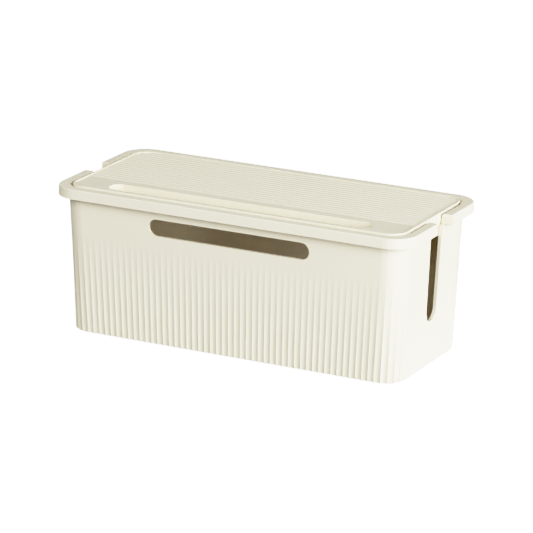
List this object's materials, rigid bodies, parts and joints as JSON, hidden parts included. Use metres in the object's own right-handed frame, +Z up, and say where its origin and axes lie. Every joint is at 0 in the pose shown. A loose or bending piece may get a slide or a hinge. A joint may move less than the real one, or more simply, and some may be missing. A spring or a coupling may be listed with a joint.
{
  "type": "cable management box",
  "caption": "Long rounded storage tub with a fluted wall, a turned-over rim, handle holes, cable slots at the ends and a fluted lift-off lid with a groove.",
  "frame": {"origin": "on the floor, under the middle of the box", "axes": "+X along the box to the right, +Y to the back, +Z up; the lid's groove is at the front, on the -Y side"},
  "size_m": [0.34, 0.1556, 0.1328],
  "materials": {
    "tub_plastic": "satin, cream",
    "lid_plastic": "satin, cream",
    "foot_rubber": "matt, pale grey"
  },
  "bodies": {
    "tub": {"tub": "tub_plastic", "foot_front_left": "foot_rubber", "foot_front_right": "foot_rubber", "foot_rear_left": "foot_rubber", "foot_rear_right": "foot_rubber"},
    "lid": {"lid": "lid_plastic"}
  },
  "joints": [
    {"name": "lid_lift", "type": "slide", "parent": "tub", "child": "lid", "axis": [0, 0, 1], "range_m": [0, 0.15]}
  ]
}
